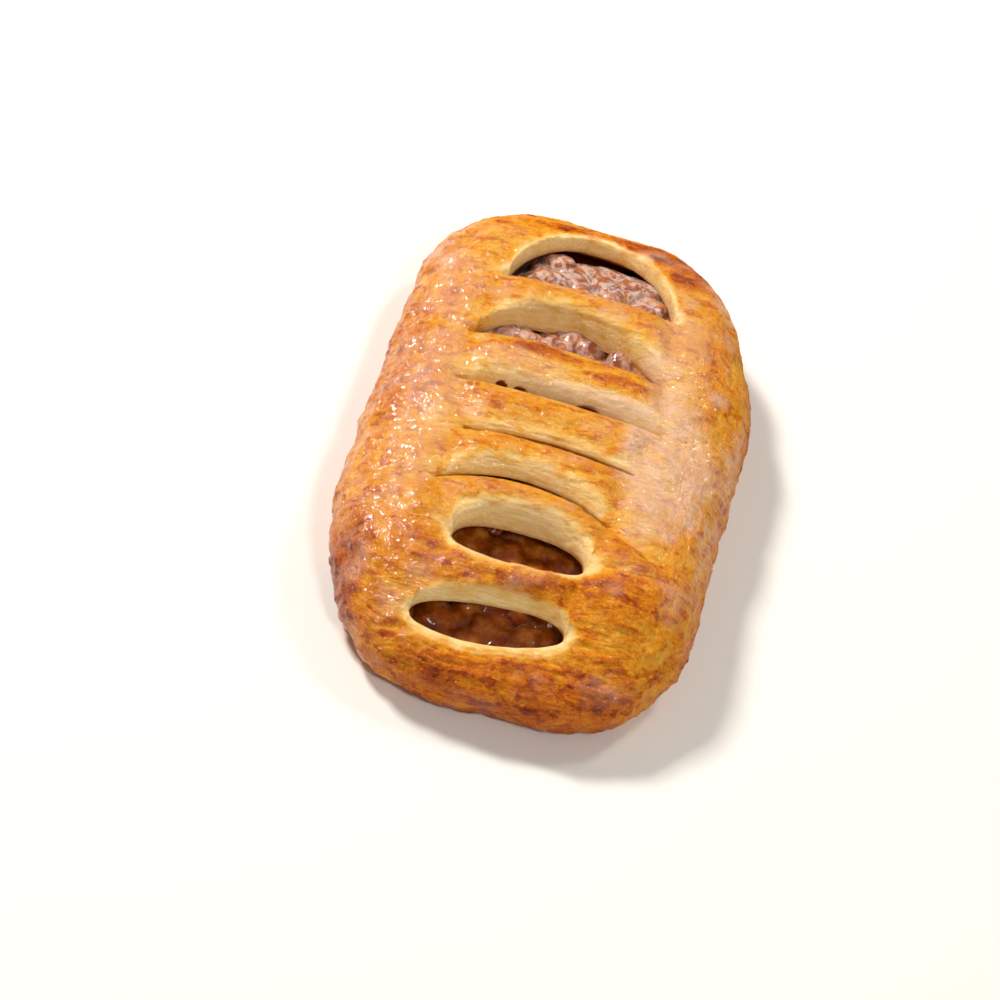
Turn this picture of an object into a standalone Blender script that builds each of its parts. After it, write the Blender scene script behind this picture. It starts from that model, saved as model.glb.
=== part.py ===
"""Fruit danish with a slit lattice lid, at its real size.

Two pieces are made: the laminated dough crust, one closed shell whose lid is cut across by seven
slits, and the fruit filling that lies inside it and shows through them.
The frame is +Z up, +Y along the pastry towards its far end, where the widest slit is, +X across
it, with the origin in the middle of the flat underside. Lengths below are in millimetres.
"""

import math
from typing import NamedTuple

import bpy
import numpy as np

MM = 0.001


class Side(NamedTuple):
    """One edge of a slit, where the dough rolls down to the opening."""

    bow: float  # how far the edge bows away from the straight cut
    drop: float  # how far the dough rolls down
    run: float  # over what width it does so


class Slit(NamedTuple):
    y: float  # middle of the cut, before it is arched
    tilt: float  # climb in y for each mm of x
    arch: float  # how far its middle is arched towards the far end
    x: float  # middle of the opening
    half: float  # half length of the opening
    blunt: float  # 0.5 rounds the tips like an ellipse, 1 narrows them like a parabola
    fade: float  # length of the crease that runs on past each tip
    near: Side
    far: Side


# Outline of the pastry: a rounded rectangle whose far left corner is pushed out and far right
# corner pulled in. It bulges along the far end, and on both sides at these shares of its half length
HALF_WIDTH = 42.3
HALF_LENGTH = 73.5
CORNER_POWER = 3.5
FAR_LEFT_PUSH = 2.5
FAR_RIGHT_PULL = 1.8
FAR_END_BULGE = 6.0
SIDE_BULGE = 2.7
RIGHT_BULGE_V = 0.5
LEFT_BULGE_V = -0.3
BULGE_REACH = 0.8
# Waves that make the outline uneven: how many go round it, height, phase
OUTLINE_WAVES = ((7, 0.25, 0.4), (11, 0.2, 2.0))

# Heights: the underside is at 0, the outline is widest at the seam, and the lid is the top, which
# falls towards the near end
SEAM_HEIGHT = 9.0
LID_HEIGHT = 24.5
NEAR_END_FALL = 7.0
FALL_START_V = 0.58
FOOT_INSET = 5.5
SIDE_SHOULDER_POWER = 5.0
END_SHOULDER_POWER = 8.0
SHOULDER_ROUND = 2.2
# Strips between slits puff up above the lid, most in their middle
STRIP_PUFF = 2.6
PUFF_HALF_WIDTH = 34.0

# The seven slits, from the near end to the far one
SLITS = (
    Slit(-59.8, 0.10, 0.0, -5.2, 18.5, 0.5, 5.0, near=Side(3.8, 2.5, 6.0), far=Side(4.4, 3.0, 3.5)),
    Slit(-40.3, 0.00, 0.0, -2.0, 15.3, 0.45, 6.0, near=Side(4.6, 2.5, 4.0), far=Side(7.8, 6.0, 4.0)),
    Slit(-34.0, -0.031, 13.0, -4.0, 20.0, 0.8, 11.0, near=Side(0.2, 1.2, 2.5), far=Side(1.9, 4.2, 4.5)),
    Slit(-11.0, -0.01, 3.7, -1.0, 20.0, 0.8, 7.0, near=Side(0.15, 1.0, 2.0), far=Side(0.3, 2.2, 2.0)),
    Slit(6.4, -0.024, 1.4, -1.0, 24.0, 0.8, 6.0, near=Side(0.2, 1.3, 2.0), far=Side(1.4, 4.5, 3.5)),
    Slit(22.3, -0.042, 2.4, -1.8, 23.0, 0.6, 5.0, near=Side(0.2, 1.7, 2.0), far=Side(8.6, 6.0, 2.5)),
    Slit(44.6, 0.00, 0.0, 0.0, 20.8, 0.6, 4.0, near=Side(0.2, 2.5, 2.0), far=Side(18.0, 5.0, 1.8)),
)
# Half the width of a slit where its edges meet, so that the cut goes through
HAIRLINE = 0.35
# Where the slit columns of the grid end on the near and the far outline
END_TIPS = (-26.0, 26.0)

# The hollow that holds the filling
FLOOR_THICKNESS = 4.0
LIP_THICKNESS = 2.6
CEILING_HEIGHT = 19.0
HOLLOW_SEAM = 7.0
HOLLOW_U = (0.70, 0.84)
HOLLOW_V = (0.86, 0.91)
HOLLOW_FLOOR_SHARE = 0.93

# The filling: clearance to the crust, height of its lumpy top, and its heap in the widest slit,
# with the heap's half width and half length
FILLING_GAP = 0.8
FILLING_MARGIN = 0.03
FILLING_HEIGHT = 13.4
HEAP_HEIGHT = 5.0
HEAP_SIZE = (17.0, 8.5)
LUMP_HEIGHT = 0.9
LUMP_LENGTH = 11.0

# Grid counts
BORDER_COLUMNS = 5
SLIT_COLUMNS = 14
STRIP_ROWS = 6
END_ROWS = 8
CEILING_STRIP_ROWS = 3
CEILING_END_ROWS = 4
FOOT_RINGS = 3
FILLING_GRID = (20, 34)

CRUST_COLOUR = (0.62, 0.30, 0.075)
FILLING_COLOUR = (0.23, 0.075, 0.018)


def eased(count):
    """Shares from 0 to 1 that crowd together at both ends."""
    return (1 - np.cos(np.pi * np.arange(count + 1) / count)) / 2


def swell(distance):
    """1 at a bulge's middle, falling to 0 within its reach."""
    return np.cos(np.pi / 2 * np.clip(distance / BULGE_REACH, -1, 1)) ** 2


def lid_top(v):
    """Height of the lid along the pastry: level, then falling in an S-curve to the near end."""
    share = np.clip((-v - FALL_START_V) / (1 - FALL_START_V), 0, 1)
    return LID_HEIGHT - NEAR_END_FALL * share**2 * (3 - 2 * share)


def plan(u, v):
    """Place in mm of the rounded rectangle's point at u and v, each from -1 to 1. Lines of equal u
    or v bow inwards towards the corners, so that the outline turns each corner smoothly."""
    corner = 1 - 2 ** (-1 / CORNER_POWER)
    bow = (1 - corner) / corner
    x = HALF_WIDTH * u * (1 - corner * np.abs(v) ** bow)
    y = HALF_LENGTH * v * (1 - corner * np.abs(u) ** bow)
    left, right, far = np.maximum(0, -u), np.maximum(0, u), np.maximum(0, v)
    x = x - FAR_LEFT_PUSH * (left * far) ** 2 - FAR_RIGHT_PULL * (right * far) ** 2
    y = y + FAR_LEFT_PUSH * (left * far) ** 2 - FAR_RIGHT_PULL * (right * far) ** 2
    y = y + FAR_END_BULGE * far**3 * (1 - u**2)
    x = x + SIDE_BULGE * (right**3 * swell(v - RIGHT_BULGE_V) - left**3 * swell(v - LEFT_BULGE_V))
    angle = np.arctan2(v, u)
    wave = sum(height * np.sin(count * angle + phase) for count, height, phase in OUTLINE_WAVES)
    edge = np.maximum(np.abs(u), np.abs(v)) ** 4
    return x + wave * edge * np.cos(angle), y + wave * edge * np.sin(angle)


def shoulder(u, v):
    """1 in the middle of the pastry, falling to 0 at its outline along a rounded shoulder."""
    across = 1 - np.minimum(1, np.abs(u)) ** SIDE_SHOULDER_POWER
    along = 1 - np.minimum(1, np.abs(v)) ** END_SHOULDER_POWER
    return np.maximum(0, across * along) ** (1 / SHOULDER_ROUND)


class Columns:
    """Columns of the grid across the pastry. They run in three groups: from the left outline to
    the slits' left tips, along the slits, and from their right tips to the right outline."""

    def __init__(self, border_count, slit_count):
        self.first = border_count
        self.last = border_count + slit_count
        self.border = eased(border_count)
        self.slit = eased(slit_count)

    def across(self, left, right):
        """x of every column, where the slit columns end at left and right."""
        outer_left = -HALF_WIDTH + (left + HALF_WIDTH) * self.border
        middle = left + (right - left) * self.slit
        outer_right = right + (HALF_WIDTH - right) * self.border
        return np.concatenate([outer_left, middle[1:], outer_right[1:]])

    def lens(self, blunt):
        """How far a slit is open at every column, from 0 at its tips to 1 in its middle."""
        along = 2 * self.slit - 1
        opening = np.maximum(0, 1 - along**2) ** blunt
        closed = np.zeros(self.first)
        return np.concatenate([closed, opening, closed])


def slit_edge(slit, side, x, columns):
    """y of a slit's near or far edge at every column: the arched cut, and the lens it opens to."""
    arch = slit.arch * np.maximum(0, 1 - ((x - slit.x) / (slit.half + slit.fade)) ** 2)
    away = 1 if side is slit.far else -1
    opening = away * (HAIRLINE + side.bow * columns.lens(slit.blunt))
    return slit.y + slit.tilt * (x - slit.x) + arch + opening


def roll_down(slit, side, x, distance, columns):
    """How far the dough dips at a distance from a slit's edge: a quarter round down to the opening,
    which narrows to a crease past the slit's tips. There both edges drop equally."""
    past_tip = np.maximum(0, np.abs(x - slit.x) - slit.half) / slit.fade
    share = np.minimum(1, np.hypot(past_tip, np.maximum(0, distance) / side.run))
    tip_drop = (slit.near.drop + slit.far.drop) / 2
    drop = tip_drop + (side.drop - tip_drop) * columns.lens(1)
    return drop * (1 - np.sqrt(1 - (1 - share) ** 2))


class Row(NamedTuple):
    """A row of the grid, at a share of the way from one slit to the next. At the pastry's ends the
    outline takes the place of the slit, and that slit is None."""

    before: Slit | None
    after: Slit | None
    share: float


def lid_rows(strip_rows, end_rows):
    """Rows from the near end to the far one. Each slit has two, one at either edge."""
    stops = [None, *SLITS, None]
    rows = []
    for before, after in zip(stops, stops[1:]):
        count = end_rows if before is None or after is None else strip_rows
        rows += [Row(before, after, share) for share in eased(count)]
    return rows


def tips(slit):
    return np.array(END_TIPS if slit is None else (slit.x - slit.half, slit.x + slit.half))


def flat_place(row, columns):
    """x and y of a row's points in mm, before the corners are rounded."""
    left, right = tips(row.before) + (tips(row.after) - tips(row.before)) * row.share
    x = columns.across(left, right)
    low, high = -HALF_LENGTH, HALF_LENGTH
    if row.before is not None:
        low = slit_edge(row.before, row.before.far, x, columns)
    if row.after is not None:
        high = slit_edge(row.after, row.after.near, x, columns)
    return x, low + (high - low) * row.share


def lid_row(row, columns):
    """A row of the crust's outer top surface."""
    x, y = flat_place(row, columns)
    u, v = x / HALF_WIDTH, y / HALF_LENGTH
    top = lid_top(v)
    dip = np.zeros_like(x)
    if row.before is not None:
        edge = slit_edge(row.before, row.before.far, x, columns)
        dip += roll_down(row.before, row.before.far, x, y - edge, columns)
    if row.after is not None:
        edge = slit_edge(row.after, row.after.near, x, columns)
        dip += roll_down(row.after, row.after.near, x, edge - y, columns)
    if None not in (row.before, row.after):
        crown = np.maximum(0, 1 - (x / PUFF_HALF_WIDTH) ** 2)
        top = top + STRIP_PUFF * crown * math.sin(math.pi * row.share)
    z = SEAM_HEIGHT + (top - SEAM_HEIGHT - dip) * shoulder(u, v)
    return np.column_stack([*plan(u, v), np.maximum(SEAM_HEIGHT, z)])


def pressed(value, limits):
    """The value unchanged up to the first limit, then pressed together to end at the second."""
    start, end = limits
    size = np.abs(value)
    beyond = start + (size - start) * (end - start) / (1 - start)
    return np.copysign(np.where(size > start, beyond, size), value)


def ceiling_row(row, columns):
    """A row of the hollow's ceiling, which lies one lip's thickness below the edges of the slits."""
    x, y = flat_place(row, columns)
    u, v = x / HALF_WIDTH, y / HALF_LENGTH
    deepest = np.zeros_like(x)
    if row.before is not None:
        deepest = roll_down(row.before, row.before.far, x, 0, columns)
    if row.after is not None:
        deepest = np.maximum(deepest, roll_down(row.after, row.after.near, x, 0, columns))
    lip = lid_top(v) - deepest - LIP_THICKNESS
    top = np.minimum(CEILING_HEIGHT, lip)
    z = HOLLOW_SEAM + (top - HOLLOW_SEAM) * shoulder(u, v)
    return np.column_stack([*plan(pressed(u, HOLLOW_U), pressed(v, HOLLOW_V)), z])


class Shell:
    """Points and faces of one closed surface, with faces that point outwards."""

    def __init__(self):
        self.points = np.empty((0, 3))
        self.faces = []

    def add(self, points):
        """Adds an array of points and returns their numbers in the same arrangement."""
        points = np.asarray(points, dtype=float)
        numbers = len(self.points) + np.arange(points.size // 3).reshape(points.shape[:-1])
        self.points = np.vstack([self.points, points.reshape(-1, 3)])
        return numbers

    def skin(self, grid, cuts=(), flip=False):
        """Faces over a grid of point numbers, apart from its cuts, each a row and its columns."""
        corners = np.stack([grid[:-1, :-1], grid[:-1, 1:], grid[1:, 1:], grid[1:, :-1]], axis=-1)
        kept = np.ones(corners.shape[:2], dtype=bool)
        for row, first, last in cuts:
            kept[row, first:last] = False
        faces = corners[kept]
        self.faces += (faces[:, ::-1] if flip else faces).tolist()

    def bridge(self, first, second):
        """Faces between two closed loops of equal length."""
        self.faces += np.column_stack(
            [first, np.roll(first, -1), np.roll(second, -1), second]
        ).tolist()

    def fan(self, loop, centre):
        number = int(self.add(np.array([centre]))[0])
        self.faces += [[a, b, number] for a, b in zip(loop.tolist(), np.roll(loop, -1).tolist())]

    def build(self, name, material):
        mesh = bpy.data.meshes.new(name)
        mesh.from_pydata((self.points * MM).tolist(), [], self.faces)
        mesh.materials.append(material)
        mesh.shade_smooth()
        mesh.set_sharp_from_angle(angle=math.radians(50))
        piece = bpy.data.objects.new(name, mesh)
        bpy.context.scene.collection.objects.link(piece)
        return piece


def rim_of(grid):
    """The outline of a grid of point numbers as one loop, clockwise seen from above."""
    return np.concatenate([grid[:, 0], grid[-1, 1:], grid[-2::-1, -1], grid[0, -2:0:-1]])


def slit_cuts(rows, columns):
    """Where the slits leave faces out of a grid: the row at each near edge, and the columns."""
    return [
        (j, columns.first, columns.last)
        for j, (row, following) in enumerate(zip(rows, rows[1:]))
        if row.after is not None and row.after is following.before
    ]


def slit_loop(grid, cut):
    """The loop of points round a slit's opening."""
    row, first, last = cut
    near = grid[row, first : last + 1]
    far = grid[row + 1, first : last + 1]
    return np.concatenate([near, far[::-1]])


def crust_shell():
    """The dough: a lid with seven slits, the foot under it, and the hollow inside them."""
    shell = Shell()
    columns = Columns(BORDER_COLUMNS, SLIT_COLUMNS)
    rows = lid_rows(STRIP_ROWS, END_ROWS)
    lid = shell.add([lid_row(row, columns) for row in rows])
    lid_cuts = slit_cuts(rows, columns)
    shell.skin(lid, lid_cuts)

    rows = lid_rows(CEILING_STRIP_ROWS, CEILING_END_ROWS)
    ceiling = shell.add([ceiling_row(row, columns) for row in rows])
    ceiling_cuts = slit_cuts(rows, columns)
    shell.skin(ceiling, ceiling_cuts, flip=True)
    for outer, inner in zip(lid_cuts, ceiling_cuts):
        shell.bridge(slit_loop(lid, outer), slit_loop(ceiling, inner))

    # The foot curves in under the seam and ends in the flat underside
    ring = rim_of(lid)
    seam = shell.points[ring]
    for step in range(1, FOOT_RINGS + 1):
        angle = math.pi / 2 * step / FOOT_RINGS
        inset = FOOT_INSET * (1 - math.cos(angle))
        shrink = [1 - inset / HALF_WIDTH, 1 - inset / HALF_LENGTH, 1 - math.sin(angle)]
        lower = shell.add(seam * shrink)
        shell.bridge(ring, lower)
        ring = lower
    shell.fan(ring, (0, 0, 0))

    # The hollow's walls lead down to its floor
    rim = rim_of(ceiling)
    floor = shell.points[rim] * [HOLLOW_FLOOR_SHARE, HOLLOW_FLOOR_SHARE, 0]
    floor = shell.add(floor + [0, 0, FLOOR_THICKNESS])
    shell.bridge(floor, rim)
    shell.fan(floor[::-1], (0, 0, FLOOR_THICKNESS))
    return shell


def filling_top(x, y):
    """Height of the filling: soft lumps, heaped up in the widest slit, lower at the near end."""
    lumps = np.sin(2 * np.pi * x / LUMP_LENGTH + 0.04 * y) * np.sin(2 * np.pi * y / LUMP_LENGTH)
    widest = SLITS[-1]
    middle = widest.y + widest.far.bow / 2
    reach = np.hypot((x - widest.x) / HEAP_SIZE[0], (y - middle) / HEAP_SIZE[1])
    heap = HEAP_HEIGHT * np.maximum(0, 1 - reach**2) ** 2
    fall = (LID_HEIGHT - lid_top(y / HALF_LENGTH)) / 2
    return FILLING_HEIGHT - fall + LUMP_HEIGHT * lumps + heap


def filling_shell():
    """The fruit filling, one solid that runs under the whole lid."""
    shell = Shell()
    side = HOLLOW_SEAM + FILLING_MARGIN * 10
    u, v = np.meshgrid(*[2 * eased(count) - 1 for count in FILLING_GRID])
    x, y = plan((HOLLOW_U[1] - FILLING_MARGIN) * u, (HOLLOW_V[1] - FILLING_MARGIN) * v)
    z = side + (filling_top(x, y) - side) * shoulder(u, v)
    top = shell.add(np.stack([x, y, z], axis=-1))
    shell.skin(top)
    ring = rim_of(top)
    bottom = FLOOR_THICKNESS + FILLING_GAP
    share = HOLLOW_FLOOR_SHARE - FILLING_MARGIN
    foot = shell.add(shell.points[ring] * [share, share, 0] + [0, 0, bottom])
    shell.bridge(ring, foot)
    shell.fan(foot, (0, 0, bottom))
    return shell


def surface(name, colour, roughness):
    material = bpy.data.materials.new(name)
    material.use_nodes = True
    shader = material.node_tree.nodes["Principled BSDF"]
    shader.inputs["Base Color"].default_value = (*colour, 1)
    shader.inputs["Roughness"].default_value = roughness
    shader.inputs["Metallic"].default_value = 0
    return material


def main():
    for item in list(bpy.data.objects):
        bpy.data.objects.remove(item)
    crust, filling = crust_shell(), filling_shell()
    # The waves of the outline shift its middle a little, so both pieces are centred together
    middle = (crust.points.min(axis=0) + crust.points.max(axis=0)) / 2 * [1, 1, 0]
    for shell in (crust, filling):
        shell.points -= middle
    crust.build("pastry_crust", surface("baked_dough", CRUST_COLOUR, 0.4))
    filling.build("fruit_filling", surface("fruit_compote", FILLING_COLOUR, 0.2))


main()
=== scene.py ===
import math

import bpy
import numpy as np
from mathutils import Matrix, Vector


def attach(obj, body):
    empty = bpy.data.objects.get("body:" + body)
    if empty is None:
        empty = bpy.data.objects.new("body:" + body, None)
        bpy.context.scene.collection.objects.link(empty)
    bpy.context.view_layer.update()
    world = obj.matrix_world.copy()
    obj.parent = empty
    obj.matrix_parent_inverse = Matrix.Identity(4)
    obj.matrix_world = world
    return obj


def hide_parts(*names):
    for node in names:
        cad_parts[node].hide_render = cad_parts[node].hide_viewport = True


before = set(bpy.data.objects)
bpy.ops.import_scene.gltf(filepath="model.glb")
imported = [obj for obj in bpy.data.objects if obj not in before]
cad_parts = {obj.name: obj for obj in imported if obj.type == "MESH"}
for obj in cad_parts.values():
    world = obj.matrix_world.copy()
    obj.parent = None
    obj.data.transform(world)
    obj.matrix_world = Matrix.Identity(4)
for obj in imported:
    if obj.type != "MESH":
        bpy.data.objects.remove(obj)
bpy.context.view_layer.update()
mm = 0.001
print("frame loaded")

# The pastry's shape repeats the one that the frame was made from, much finer. All sizes are in mm.
# The outline is a rounded rectangle that bulges at these shares of its half length
outline = {
    "halfWidth": 42.3,
    "halfLength": 73.5,
    "cornerPower": 3.5,
    "farLeftPush": 2.5,
    "farRightPull": 1.8,
    "farEndBulge": 6.0,
    "sideBulge": 2.7,
    "rightBulgeAt": 0.5,
    "leftBulgeAt": -0.3,
    "bulgeReach": 0.8,
    "waves": ((7, 0.25, 0.4), (11, 0.2, 2.0)),  # how many go round, height, phase
}

lid = {
    "seamHeight": 9.0,  # the pastry is widest here
    "height": 24.5,
    "nearEndFall": 7.0,
    "fallStart": 0.58,
    "footInset": 5.5,
    "sideShoulder": 5.0,
    "endShoulder": 8.0,
    "shoulderRound": 2.2,
    "puff": 2.3,  # how far the strips between slits rise
    "puffHalfWidth": 34.0,
    "valley": 1.3,  # depth and width of the dip where a strip joins the border
    "valleyWidth": 3.0,
    "hairline": 0.35,  # half the width of a slit where its edges meet
    "borderColumns": 40,
    "slitColumns": 120,
    "endRows": 52,
    "stripRows": 38,
}

# Each slit: middle of the cut, its climb for each mm of x, how far it is arched, middle and half
# length of the opening, bluntness of its tips, length of the crease past them, how pale its dough
# is, how far that paleness reaches from the near and the far edge, whether it rings the tips, and
# for each edge how far it bows away, how far the dough rolls down there and over what width
slits = [
    {"y": -59.8, "tilt": 0.10, "arch": 0.0, "x": -5.2, "half": 18.5, "blunt": 0.5, "fade": 5.0,
     "pale": 0.85, "reach": (5.0, 3.0), "ring": 1, "near": (3.8, 2.5, 6.0), "far": (4.4, 3.0, 3.5)},
    {"y": -40.3, "tilt": 0.0, "arch": 0.0, "x": -2.0, "half": 15.3, "blunt": 0.45, "fade": 6.0,
     "pale": 1.0, "reach": (5.5, 5.5), "ring": 1, "near": (4.6, 2.5, 4.0), "far": (7.8, 5.4, 4.8)},
    {"y": -34.0, "tilt": -0.031, "arch": 13.0, "x": -4.0, "half": 20.0, "blunt": 0.8, "fade": 11.0,
     "pale": 0.66, "reach": (1.0, 6.5), "ring": 0, "near": (0.2, 1.2, 2.5), "far": (1.9, 2.6, 4.0)},
    {"y": -11.0, "tilt": -0.01, "arch": 3.7, "x": -1.0, "half": 20.0, "blunt": 0.8, "fade": 7.0,
     "pale": 0.55, "reach": (0.8, 3.5), "ring": 0, "near": (0.15, 1.0, 2.0), "far": (0.45, 0.6, 1.5)},
    {"y": 6.4, "tilt": -0.024, "arch": 1.4, "x": -1.0, "half": 24.0, "blunt": 0.8, "fade": 6.0,
     "pale": 0.66, "reach": (1.0, 5.5), "ring": 0, "near": (0.2, 1.3, 2.0), "far": (1.4, 4.5, 3.5)},
    {"y": 22.3, "tilt": -0.042, "arch": 2.4, "x": -1.8, "half": 23.0, "blunt": 0.6, "fade": 5.0,
     "pale": 0.62, "reach": (1.0, 7.0), "ring": 0, "near": (0.2, 1.7, 2.0), "far": (8.6, 6.0, 3.5)},
    {"y": 44.6, "tilt": 0.0, "arch": 0.0, "x": 0.0, "half": 20.8, "blunt": 0.6, "fade": 4.0,
     "pale": 0.85, "reach": (1.5, 4.5), "ring": 1, "near": (0.2, 2.5, 2.0), "far": (18.0, 5.0, 1.8)},
]
endTips = (-26.0, 26.0)

hollow = {
    "floor": 4.0,
    "lip": 2.6,
    "undercut": 2.8,  # how far the ceiling stands back from a slit's edges
    "ceiling": 19.0,
    "seam": 7.0,
    "acrossLimits": (0.70, 0.84),
    "alongLimits": (0.86, 0.91),
    "floorShare": 0.93,
    "endRows": 5,
    "stripRows": 3,
}


def eased(count, crowding=1.0):
    # shares from 0 to 1, evenly spaced or crowding together at both ends like a cosine
    even = np.arange(count + 1) / count
    return crowding * (1 - np.cos(np.pi * even)) / 2 + (1 - crowding) * even


def smooth(low, high, value):
    # S-curve from 0 at low to 1 at high
    share = np.clip((value - low) / (high - low), 0, 1)
    return share * share * (3 - 2 * share)


noiseSize = 24  # the noises repeat after so many cubes a side
scatterSize = 16


def softNoise(points, cell, seed):
    # random values at the corners of cubes of size cell, blended across each cube by an S-curve
    values = np.random.default_rng(seed).uniform(-1, 1, (noiseSize,) * 3)
    place = points / cell
    corner = np.floor(place).astype(int)
    share = place - corner
    share = share * share * (3 - 2 * share)
    total = np.zeros(points.shape[:-1])
    for step in np.ndindex(2, 2, 2):
        weight = np.prod(np.where(step, share, 1 - share), axis=-1)
        index = (corner + step) % noiseSize
        total += weight * values[index[..., 0], index[..., 1], index[..., 2]]
    return total


def roughNoise(points, cell, seed, octaves=3):
    # soft noise plus copies of it, each half as large and half as high as the one before
    return sum(softNoise(points, cell / 2**k, seed + k) / 2**k for k in range(octaves))


def nearestSeed(points, cell, seed):
    # distance to the nearest of the points scattered one in each cube, as a share of the cube
    scatter = np.random.default_rng(seed).random((scatterSize,) * 3 + (3,))
    place = points / cell
    corner = np.floor(place).astype(int)
    nearest = np.full(points.shape[:-1], 9.0)
    for step in np.ndindex(3, 3, 3):
        cube = corner + step - 1
        index = cube % scatterSize
        centre = cube + scatter[index[..., 0], index[..., 1], index[..., 2]]
        nearest = np.minimum(nearest, np.linalg.norm(place - centre, axis=-1))
    return nearest


def patch(x, y, centre, reach):
    # 1 in the middle of an elliptical patch, falling to 0 at its outline like a parabola
    away = ((x - centre[0]) / reach[0]) ** 2 + ((y - centre[1]) / reach[1]) ** 2
    return np.maximum(0, 1 - away)


def plan(u, v):
    # a rounded rectangle's point at u and v from -1 to 1: lines of equal u or v bow in towards the
    # corners, then the corners are pushed or pulled, the sides swell and the outline waves a little
    corner = 1 - 2 ** (-1 / outline["cornerPower"])
    bow = (1 - corner) / corner
    x = outline["halfWidth"] * u * (1 - corner * np.abs(v) ** bow)
    y = outline["halfLength"] * v * (1 - corner * np.abs(u) ** bow)
    left, right, far = np.maximum(0, -u), np.maximum(0, u), np.maximum(0, v)
    push, pull = outline["farLeftPush"] * (left * far) ** 2, outline["farRightPull"] * (right * far) ** 2
    x, y = x - push - pull, y + push - pull
    y = y + outline["farEndBulge"] * far**3 * (1 - u**2)
    rightSwell, leftSwell = [
        np.cos(np.pi / 2 * np.clip((v - outline[at]) / outline["bulgeReach"], -1, 1)) ** 2
        for at in ("rightBulgeAt", "leftBulgeAt")
    ]
    x = x + outline["sideBulge"] * (right**3 * rightSwell - left**3 * leftSwell)
    angle = np.arctan2(v, u)
    wave = sum(height * np.sin(count * angle + phase) for count, height, phase in outline["waves"])
    edge = np.maximum(np.abs(u), np.abs(v)) ** 4
    return x + wave * edge * np.cos(angle), y + wave * edge * np.sin(angle)


def lidTop(v):
    # level, then falling in an S-curve to the near end
    return lid["height"] - lid["nearEndFall"] * smooth(lid["fallStart"], 1, -v)


def shoulder(u, v):
    # 1 in the middle of the pastry, falling to 0 at its outline along a rounded shoulder
    sideways = 1 - np.minimum(1, np.abs(u)) ** lid["sideShoulder"]
    lengthways = 1 - np.minimum(1, np.abs(v)) ** lid["endShoulder"]
    return np.maximum(0, sideways * lengthways) ** (1 / lid["shoulderRound"])


border = eased(lid["borderColumns"], 0.8)
along = eased(lid["slitColumns"], 0.6)
firstColumn, lastColumn = lid["borderColumns"], lid["borderColumns"] + lid["slitColumns"]


def across(left, right):
    # x of every column: from the left outline to the slit's left tip, along the slit, and on to the
    # right outline. Left and right hold one value for each row
    half = outline["halfWidth"]
    outerLeft = -half + (left + half) * border
    middle = left + (right - left) * along
    outerRight = right + (half - right) * border
    return np.hstack([outerLeft, middle[:, 1:], outerRight[:, 1:]])


def lens(blunt):
    # how far a slit is open at every column, from 0 at its tips to 1 in its middle
    opening = np.maximum(0, 1 - (2 * along - 1) ** 2) ** blunt
    closed = np.zeros(lid["borderColumns"])
    return np.concatenate([closed, opening, closed])


def tipsOf(cut):
    # x of both tips of a slit, or of where the columns end at the pastry's ends
    return endTips if cut is None else (cut["x"] - cut["half"], cut["x"] + cut["half"])


def slitEdge(cut, side, x):
    # y of one edge of a slit: the arched cut, and the lens that it opens to
    arch = cut["arch"] * np.maximum(0, 1 - ((x - cut["x"]) / (cut["half"] + cut["fade"])) ** 2)
    away = 1 if side == "far" else -1
    opening = away * (lid["hairline"] + cut[side][0] * lens(cut["blunt"]))
    return cut["y"] + cut["tilt"] * (x - cut["x"]) + arch + opening


def rollDown(cut, side, x, distance):
    # how far the dough dips at a distance from a slit's edge, a quarter round down to the opening
    # that narrows to a crease past the tips, the share of the way up from the edge to the crest,
    # and the distance from the opening
    pastTip = np.maximum(0, np.abs(x - cut["x"]) - cut["half"])
    distance = np.maximum(0, distance)
    climb = np.minimum(1, np.hypot(pastTip / cut["fade"], distance / cut[side][2]))
    tipDrop = (cut["near"][1] + cut["far"][1]) / 2
    drop = tipDrop + (cut[side][1] - tipDrop) * lens(1)
    return drop * (1 - np.sqrt(1 - (1 - climb) ** 2)), climb, np.hypot(pastTip, distance)


def flatPlace(before, after, shares):
    # x and y of a strip's points before the corners are rounded, one row for each share
    (leftA, rightA), (leftB, rightB) = tipsOf(before), tipsOf(after)
    shares = shares[:, None]
    x = across(leftA + (leftB - leftA) * shares, rightA + (rightB - rightA) * shares)
    low = -outline["halfLength"] if before is None else slitEdge(before, "far", x)
    high = outline["halfLength"] if after is None else slitEdge(after, "near", x)
    return x, low + (high - low) * shares


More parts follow.
